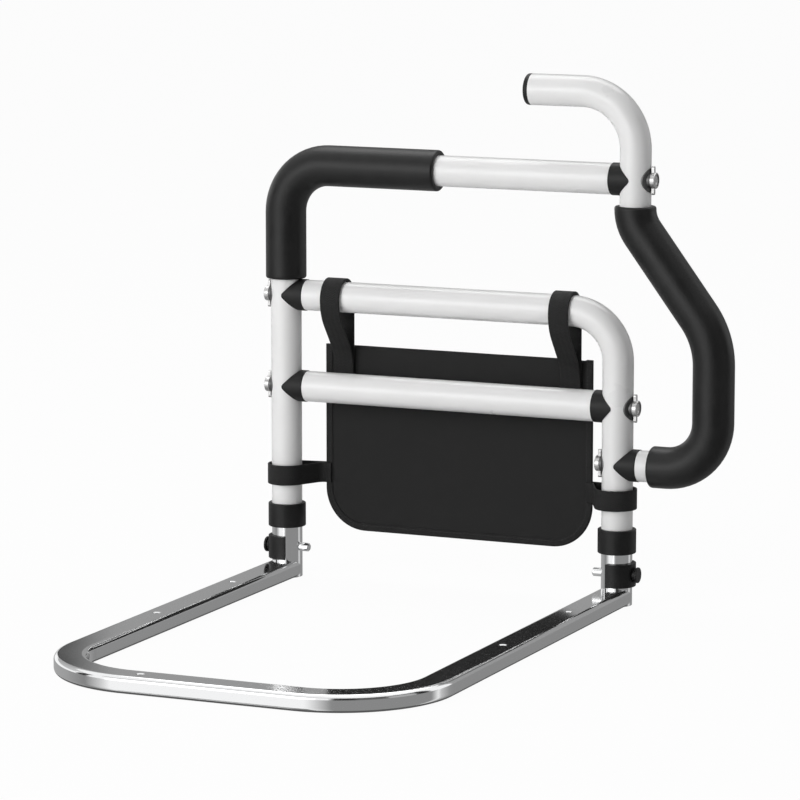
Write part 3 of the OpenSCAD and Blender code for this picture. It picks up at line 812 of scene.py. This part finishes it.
def pouchHalfWidth(z, inset):
    values = pouchValues
    radius = values["corner"] - inset
    low = values["bottom"] + inset + radius
    if z >= low:
        return values["halfWidth"] - inset
    rise = min(low - z, radius)
    return values["halfWidth"] - inset - radius + sqrt(radius * radius - rise * rise)


def edgeDistance(x, z):
    # How far a point lies inside the pouch's sides and lower edge
    values = pouchValues
    radius = values["corner"]
    sideways = values["halfWidth"] - radius - abs(x)
    down = z - values["bottom"] - radius
    if sideways < 0 and down < 0:
        return radius - sqrt(sideways * sideways + down * down)
    return min(values["halfWidth"] - abs(x), z - values["bottom"])


def smoothStep(value):
    value = max(0.0, min(1.0, value))
    return value * value * (3 - 2 * value)


def clothPanel(name, node, depthAt):
    values = pouchValues
    inset = values["clothInset"]
    bm = bmesh.new()
    columns, rows = values["grid"]
    bmesh.ops.create_grid(bm, x_segments=columns, y_segments=rows, size=1)
    low, high = values["bottom"] + inset, values["top"] - values["mouthDrop"]
    for vert in bm.verts:
        z = low + (high - low) * (vert.co.y + 1) / 2
        x = vert.co.x * pouchHalfWidth(z, inset)
        vert.co = Vector((x, depthAt(x, z), z)) * mm
    piece = finishPiece(bm, name, cloth, "upper_frame", [node])
    wall = piece.modifiers.new("thickness", "SOLIDIFY")
    wall.thickness = values["clothThickness"] * mm
    wall.offset = 0
    return piece


def slackAt(x, z, folds, slack):
    swell = 0
    for width, height, draw, share in folds:
        swell += share * noise.noise(Vector((x / width, draw, z / height)))
    return slack[0] + slack[1] * swell


def frontDepth(x, z):
    # The front cloth lies nearly flat, with shallow slack between its fixed edges
    values = pouchValues
    free = smoothStep((edgeDistance(x, z) - values["heldInset"]) / values["heldRun"])
    slack = slackAt(x, z, values["frontFolds"], values["frontSlack"])
    return values["face"] + values["clothDepth"] + free * slack


def backDepth(x, z):
    # The back cloth bulges to the pocket's depth over the gusset
    values = pouchValues
    rim = values["face"] + values["edge"] - values["clothDepth"]
    inside = smoothStep((edgeDistance(x, z) - values["trayInset"]) / values["gusset"])
    slack = slackAt(x, z, values["backFolds"], values["backSlack"])
    return rim + inside * (values["back"] - rim + slack)


front = clothPanel("pouchFrontPanel", "pouch_front_panel", frontDepth)
back = clothPanel("pouchBackPanel", "pouch_back_panel", backDepth)


def edgeRoute(inset):
    values = pouchValues
    x, low, high = values["halfWidth"] - inset, values["bottom"] + inset, values["top"]
    corners = [(-x, 0, high), (-x, 0, low), (x, 0, low), (x, 0, high)]
    radius = values["corner"] - inset
    return roundedRoute(corners, [radius, radius], values["step"])


def pouchBinding():
    # Tape folded over the edge, seen as a section: in along the front, round the edge, back along the rear
    values = pouchValues
    front, rear = values["face"], values["face"] + values["edge"]
    middle, half = (front + rear) / 2, values["edge"] / 2
    wide, thick = values["tape"], values["tapeThickness"]
    midway = wide * 0.6
    outer = [(wide, front), (midway, front)]
    for turn in (0, 22, 45, 68, 90, 112, 135, 158, 180):
        outer.append((half - half * sin(radians(turn)), middle - half * cos(radians(turn))))
    outer += [(midway, rear), (wide, rear)]
    inner = [(wide, rear - thick), (midway, rear - thick)]
    small = half - thick
    for turn in (0, 45, 90, 135, 180):
        inner.append((half - small * sin(radians(turn)), middle + small * cos(radians(turn))))
    inner += [(midway, front + thick), (wide, front + thick)]
    # The section is drawn in the route's own axes: x inwards, y to the back
    places = edgeRoute(0)
    stations = [
        stationAt(backwards.cross(z).normalized(), backwards, z, place)
        for place, z in zip(places, headings(places))
    ]
    inwards = 1 if (stations[0] @ Vector((1, 0, 0)) - stations[0].translation).x > 0 else -1
    bm = bmesh.new()
    roundLayer = bm.verts.layers.float.new("round")
    alongLayer = bm.verts.layers.float.new("along")
    section = outer + inner
    ring, first = startRing(bm, stations[0], [(inwards * x, y) for x, y in section])
    for vert, (x, _) in zip(ring, section):
        vert[roundLayer] = x * mm
    last = sweepRing(bm, first, stations, [far * mm for far in distances(places)], alongLayer)
    closeEnds(bm, first, last)
    uv = bm.loops.layers.uv.new("alongStrap")
    for face in bm.faces:
        for loop in face.loops:
            loop[uv].uv = (loop.vert[roundLayer], loop.vert[alongLayer])
    splitCreases(finishPiece(bm, "pouchBinding", webbing, "upper_frame", ["pouch_binding"]))


pouchBinding()

stitchValues = {
    "pitch": 3.4,
    "length": 2.5,
    "thickness": 0.42,
    "inset": 5.4,
}


def addStitch(bm, place, heading, out):
    # One stitch: a small ball, drawn out along the seam
    thick, long = stitchValues["thickness"] / 2 * mm, stitchValues["length"] / 2 * mm
    z = heading.normalized()
    matrix = stationAt(out.cross(z), out, z, place) @ Matrix.Diagonal((thick, thick, long, 1))
    bmesh.ops.create_uvsphere(bm, u_segments=8, v_segments=5, radius=1, matrix=matrix)


def seamPlaces(places, pitch):
    run = distances(places)
    count = int(run[-1] // pitch)
    spots = []
    for i in range(count):
        along = (i + 0.5) * run[-1] / count
        ahead = placeAt(places, run, along + 0.5) - placeAt(places, run, along - 0.5)
        spots.append((placeAt(places, run, along), ahead))
    return spots


def pouchStitches():
    values = pouchValues
    bm = bmesh.new()
    for place, ahead in seamPlaces(edgeRoute(stitchValues["inset"]), stitchValues["pitch"]):
        for depth, out in ((values["face"], -backwards), (values["face"] + values["edge"], backwards)):
            addStitch(bm, Vector((place.x, depth, place.z)), ahead, out)
    finishPiece(bm, "pouchStitches", thread, "upper_frame")


pouchStitches()
print("pouch made")

# Hanging and side straps

strapValues = {
    "width": 19.4,
    "thickness": 1.6,
    "edgeRadius": 0.55,
    "middle": 114.0,
    "railHeight": 268.0,
    "railRadius": 14.3,
    "slack": 1.9,
    "bend": 40.0,
    "lean": 38.0,
    "tail": 6.0,
    "lap": 32.0,
    # Clear of the cloth that a strap lies on, and of the rail's crown
    "gap": 0.2,
    "seat": 0.3,
    # How much thicker the doubled webbing is on the rail's crown
    "crown": 1.5,
}


def arcPlaces(centre, radius, start, stop, steps):
    # In a plane with (first, second) axes
    turns = [radians(start + (stop - start) * i / steps) for i in range(steps + 1)]
    return [(centre[0] + radius * cos(t), centre[1] + radius * sin(t)) for t in turns]


def hangingRoute():
    values = strapValues
    radius = values["railRadius"] + values["slack"] + values["thickness"] / 2
    crown = values["railHeight"] + values["railRadius"] + values["seat"]
    loopHeight = crown - radius + values["thickness"] / 2
    lay = pouchValues["face"] - values["gap"] - values["thickness"] / 2
    bend, lean = values["bend"], values["lean"]
    frontEnd = lay - values["thickness"] - values["gap"]
    step = frontEnd + radius - 2 * bend * (1 - cos(radians(lean)))
    upper = arcPlaces((-radius + bend, loopHeight), bend, 180, 180 + lean, 12)[1:]
    knee = upper[-1]
    low = (knee[0] + step, knee[1] - step * cos(radians(lean)) / sin(radians(lean)))
    centre = (low[0] - bend * cos(radians(lean)), low[1] - bend * sin(radians(lean)))
    lower = arcPlaces(centre, bend, lean, 0, 12)
    back = [(lay, pouchValues["top"] - values["lap"] + 4 * i) for i in range(9)]
    rise = [(lay, pouchValues["top"] + i * (loopHeight - pouchValues["top"]) / 8) for i in range(1, 8)]
    turns = [pi * i / 40 for i in range(41)]
    extra = [values["crown"] * sin(turn) ** 2 for turn in turns]
    loop = [
        ((radius + more / 2) * cos(turn), loopHeight + (radius + more / 2) * sin(turn))
        for turn, more in zip(turns, extra)
    ]
    tail = [(lower[-1][0], lower[-1][1] - values["tail"] * i / 3) for i in range(1, 4)]
    thickening = [1] * len(back + rise) + [1 + more / values["thickness"] for more in extra]
    thickening += [1] * len(upper + lower + tail)
    return back + rise + loop + upper + lower + tail, thickening


def hangingStraps():
    values = strapValues
    section = roundedSection(values["width"], values["thickness"], values["edgeRadius"])
    route, thickening = hangingRoute()
    for side, word in ((-1, "left"), (1, "right")):
        places = [Vector((side * values["middle"], y, z)) for y, z in route]
        sweepStrap(word + "HangingStrap", word + "_hanging_strap", section, places, across, thickening)


hangingStraps()

sideStrapValues = {
    "height": 18.8,
    "low": 88.8,
    "slack": 2.2,
    "end": 6.0,
    "flat": 1.4,
    "legX": 166.3,
    # The right strap bends sooner and lies more loosely on the upright's front
    "bends": {-1: 8.0, 1: 4.0},
    "loose": {-1: 0.0, 1: 2.7},
    "looseSteps": 26,
}


def between(a, b, count):
    # Points strictly between two places in a plane
    return [(a[0] + (b[0] - a[0]) * i / count, a[1] + (b[1] - a[1]) * i / count) for i in range(1, count)]


def sideRoute(bend, loose):
    # Seen from above at the right upright: off the pouch's face in a small bend, round the upright
    # and onto the pouch's back
    values, cloths = sideStrapValues, pouchValues
    thick = strapValues["thickness"]
    radius = strapValues["railRadius"] + values["slack"] + thick / 2
    edge = cloths["halfWidth"] - values["legX"]
    gap = strapValues["gap"]
    frontY, backY = cloths["face"] - gap - thick / 2, cloths["face"] + cloths["edge"] + gap + thick / 2
    small = (edge - values["flat"], frontY - bend)
    down = atan2(-small[1], -small[0]) - asin((radius + loose + bend) / sqrt(small[0] ** 2 + small[1] ** 2))
    wide = (edge + values["flat"], backY - radius)
    leave = degrees(atan2(wide[1], wide[0])) - 90
    first = [(edge - values["end"] + i * (values["end"] - values["flat"]) / 3, frontY) for i in range(3)]
    leaving = arcPlaces(small, bend, 90, degrees(down) + 90, 14)
    wrap = []
    for i, (x, y) in enumerate(arcPlaces((0, 0), radius, degrees(down) - 90, leave, 72)):
        more = 1 + loose / radius * (1 - smoothStep(i / values["looseSteps"]))
        wrap.append((x * more, y * more))
    lead = between(leaving[-1], wrap[0], 8)
    meeting = arcPlaces(wide, radius, leave, 90, 4)
    end = (edge - values["end"], backY)
    last = between(wrap[-1], meeting[0], 10) + meeting + between(meeting[-1], end, 4) + [end]
    return first + leaving + lead + wrap + last


def sideStraps():
    values = sideStrapValues
    section = roundedSection(values["height"], strapValues["thickness"], strapValues["edgeRadius"])
    middle = values["low"] + values["height"] / 2
    for side, word in ((-1, "left"), (1, "right")):
        route = sideRoute(values["bends"][side], values["loose"][side])
        places = [Vector((side * (values["legX"] + x), y, middle)) for x, y in route]
        sweepStrap(word + "SideStrap", word + "_side_strap", section, places, upwards)


sideStraps()
print("straps made")

# Floor, lamps and background

studioValues = {
    "floorSize": 14.0,
    "floorColour": 0.78,
    "ambient": 0.24,
    "shown": 0.965,
    "lampAim": (0, -0.2, 0.22),
    # A lamp that shines is seen by reflections too
    "lamps": {
        "key": {
            "azimuth": -30, "elevation": 18, "distance": 3.0,
            "size": (2.2, 2.2), "power": 66, "shines": False,
        },
        "top": {
            "azimuth": 190, "elevation": 66, "distance": 2.4,
            "size": (2.4, 1.4), "power": 22, "shines": True,
        },
        "fill": {
            "azimuth": 80, "elevation": 10, "distance": 3.2,
            "size": (1.6, 1.8), "power": 3, "shines": True,
        },
    },
    # Glowing cards that only reflections see, as painted reflections: the softbox a painted highlight, the
    # ground cards the floor lit and in painted shade, the rest painted dark and grey surroundings. Azimuth
    # and elevation from and to, greys along the azimuth
    "cards": {
        "softbox": {
            "azimuth": (-42, 0),
            "elevation": (-2, 24),
            "greys": [(0, 0.6), (0.3, 1), (0.7, 1), (1, 0.6)],
            "strength": 2.9,
        },
        "groundRight": {
            "azimuth": (-10, 124),
            "elevation": (-88, -2),
            "greys": [(0, 1), (0.19, 0.27), (0.95, 0.27), (1, 0.7)],
        },
        "groundBack": {
            "azimuth": (124, 322),
            "elevation": (-88, -2),
            "greys": [
                (0, 0.7), (0.015, 0.92), (0.035, 0.58), (0.066, 0.45), (0.11, 0.3), (0.18, 0.26),
                (0.4, 0.42), (0.7, 0.37), (0.855, 0.25), (0.955, 0.66), (1, 0.95),
            ],
        },
        "groundFront": {
            "azimuth": (-60, -10),
            "elevation": (-88, -36),
            "greys": [(0, 0.27), (1, 0.27)],
        },
        "backWall": {
            "azimuth": (148, 208.9),
            "elevation": (-2, 38),
            "greys": [(0, 0.33), (1, 0.33)],
        },
        "backLow": {
            "azimuth": (208.9, 222),
            "elevation": (-2, 6.5),
            "greys": [(0, 0.4), (1, 0.8)],
        },
        "backCorner": {
            "azimuth": (208.9, 216),
            "elevation": (6.5, 14.6),
            "greys": [(0, 0.33), (0.13, 0.06), (0.7, 0.05), (1, 0.3)],
        },
        "backLeft": {
            "azimuth": (208.9, 276),
            "elevation": (14.6, 36),
            "greys": [(0, 0.36), (0.5, 0.5), (1, 0.62)],
        },
        "leftLine": {
            "azimuth": (281, 299),
            "elevation": (-2, 30),
            "greys": [(0, 0.6), (0.25, 0.05), (0.8, 0.04), (1, 0.8)],
        },
        "frontLine": {
            "azimuth": (299, 372),
            "elevation": (38, 47),
            "greys": [(0, 0.5), (1, 0.5)],
        },
        "rightFlag": {
            "azimuth": (13, 116),
            "elevation": (-2, 40),
            "greys": [
                (0, 0.7), (0.05, 0.04), (0.22, 0.04), (0.28, 0.12),
                (0.82, 0.1), (0.88, 0.02), (0.95, 0.03), (1, 0.6),
            ],
        },
    },
    "cardDistance": 11.0,
    "cardMiddle": (0, -0.25, 0.05),
    # A painted contact shadow: a dark strip, seen only in reflections, where the base tube meets the floor
    "contactShadow": {"halfWidth": 15.0, "grey": 0.1},
}


def direction(azimuth, elevation):
    # From the object: azimuth 0 is straight in front and 90 to its right
    a, e = radians(azimuth), radians(elevation)
    return Vector((sin(a) * cos(e), -cos(a) * cos(e), sin(e)))


def makeLamps():
    for name, lamp in studioValues["lamps"].items():
        data = bpy.data.lights.new(name, "AREA")
        data.shape = "RECTANGLE"
        data.size, data.size_y = lamp["size"]
        data.energy = lamp["power"]
        made = bpy.data.objects.new(name, data)
        made.visible_glossy = lamp["shines"]
        bpy.context.scene.collection.objects.link(made)
        towards = direction(lamp["azimuth"], lamp["elevation"])
        made.location = Vector(studioValues["lampAim"]) + towards * lamp["distance"]
        made.rotation_euler = towards.to_track_quat("Z", "Y").to_euler()


def seenRays(tree):
    # 1 for camera, glossy and transmission rays, 0 for the rest
    path = addNode(tree, "LightPath")
    seen = maths(tree, "MAXIMUM", path.outputs["Is Camera Ray"], path.outputs["Is Glossy Ray"])
    return maths(tree, "MAXIMUM", seen, path.outputs["Is Transmission Ray"])


def makeWorld():
    world = bpy.data.worlds.new("studio")
    bpy.context.scene.world = world
    world.use_nodes = True
    tree = world.node_tree
    tree.nodes.clear()
    lit = addNode(tree, "Background", {"Color": white, "Strength": studioValues["ambient"]})
    shown = addNode(tree, "Background", {"Color": white, "Strength": 1.0})
    mixed = addNode(tree, "MixShader", {0: seenRays(tree), 1: lit.outputs[0], 2: shown.outputs[0]})
    out = tree.nodes.new("ShaderNodeOutputWorld")
    tree.links.new(mixed.outputs[0], out.inputs["Surface"])


def makeFloor():
    values = studioValues
    bm = bmesh.new()
    bmesh.ops.create_grid(bm, x_segments=1, y_segments=1, size=values["floorSize"])
    bmesh.ops.translate(bm, verts=bm.verts, vec=(0, 0, cadLow[2] - 0.0002))
    floor = objectFrom(bm, "studioFloor")
    material, tree, shader = newMaterial("paleFloor")
    shader.inputs["Base Color"].default_value = (*grey(values["floorColour"]), 1)
    shader.inputs["Roughness"].default_value = 0.9
    shader.inputs["Specular IOR Level"].default_value = 0.0
    glow = addNode(tree, "Emission", {"Color": white, "Strength": 1.0})
    part = maths(tree, "MULTIPLY", seenRays(tree), values["shown"])
    mixed = addNode(tree, "MixShader", {0: part, 1: shader.outputs[0], 2: glow.outputs[0]})
    tree.links.new(mixed.outputs[0], tree.nodes["Material Output"].inputs["Surface"])
    floor.data.materials.append(material)
    floor.visible_glossy = False


def onlyReflected(card):
    # A painted reflection: seen by glossy rays alone, so it neither lights nor shades anything
    card.visible_camera = card.visible_diffuse = card.visible_transmission = False
    card.visible_volume_scatter = card.visible_shadow = False


def glowPaint(card, greys, strength=1.0):
    material, tree, _ = newMaterial(card.name + "Paint")
    place = addNode(tree, "UVMap", uv_map="across").outputs["UV"]
    along = addNode(tree, "SeparateXYZ", {"Vector": place}).outputs["X"]
    colour = greyRamp(tree, along, [(part, grey(value)) for part, value in greys])
    glow = addNode(tree, "Emission", {"Color": colour, "Strength": strength})
    tree.links.new(glow.outputs[0], tree.nodes["Material Output"].inputs["Surface"])
    card.data.materials.append(material)


def partWay(ends, part):
    return ends[0] + part * (ends[1] - ends[0])


def makeCards():
    values = studioValues
    for name, card in values["cards"].items():
        bm = bmesh.new()
        bmesh.ops.create_grid(bm, x_segments=24, y_segments=8, size=1)
        uv = bm.loops.layers.uv.new("across")
        for face in bm.faces:
            for loop in face.loops:
                loop[uv].uv = ((loop.vert.co.x + 1) / 2, (loop.vert.co.y + 1) / 2)
        for vert in bm.verts:
            turn, rise = (vert.co.x + 1) / 2, (vert.co.y + 1) / 2
            azimuth = partWay(card["azimuth"], turn)
            elevation = partWay(card["elevation"], rise)
            vert.co = direction(azimuth, elevation) * values["cardDistance"] + Vector(values["cardMiddle"])
        made = objectFrom(bm, name)
        onlyReflected(made)
        glowPaint(made, card["greys"], card.get("strength", 1.0))


def makeContactShadowStrip():
    # A painted shadow under the base tube, seen only in reflections
    values = studioValues["contactShadow"]
    bm = bmesh.new()
    stations = stationsAlong(baseRoute(cadLow[2] / mm - 0.1), upwards)
    ring = [bm.verts.new(stations[0] @ Vector((0, side * values["halfWidth"] * mm, 0))) for side in (-1, 1)]
    sweepRing(bm, [bm.edges.new(ring)], stations)
    uv = bm.loops.layers.uv.new("across")
    for face in bm.faces:
        for loop in face.loops:
            loop[uv].uv = (0.5, 0.5)
    strip = objectFrom(bm, "contactShadowStrip")
    onlyReflected(strip)
    glowPaint(strip, [(0, values["grey"]), (1, values["grey"])])


makeLamps()
makeWorld()
makeFloor()
makeCards()
makeContactShadowStrip()
bpy.context.scene.view_settings.view_transform = "Standard"
print("floor, lamps and background set")
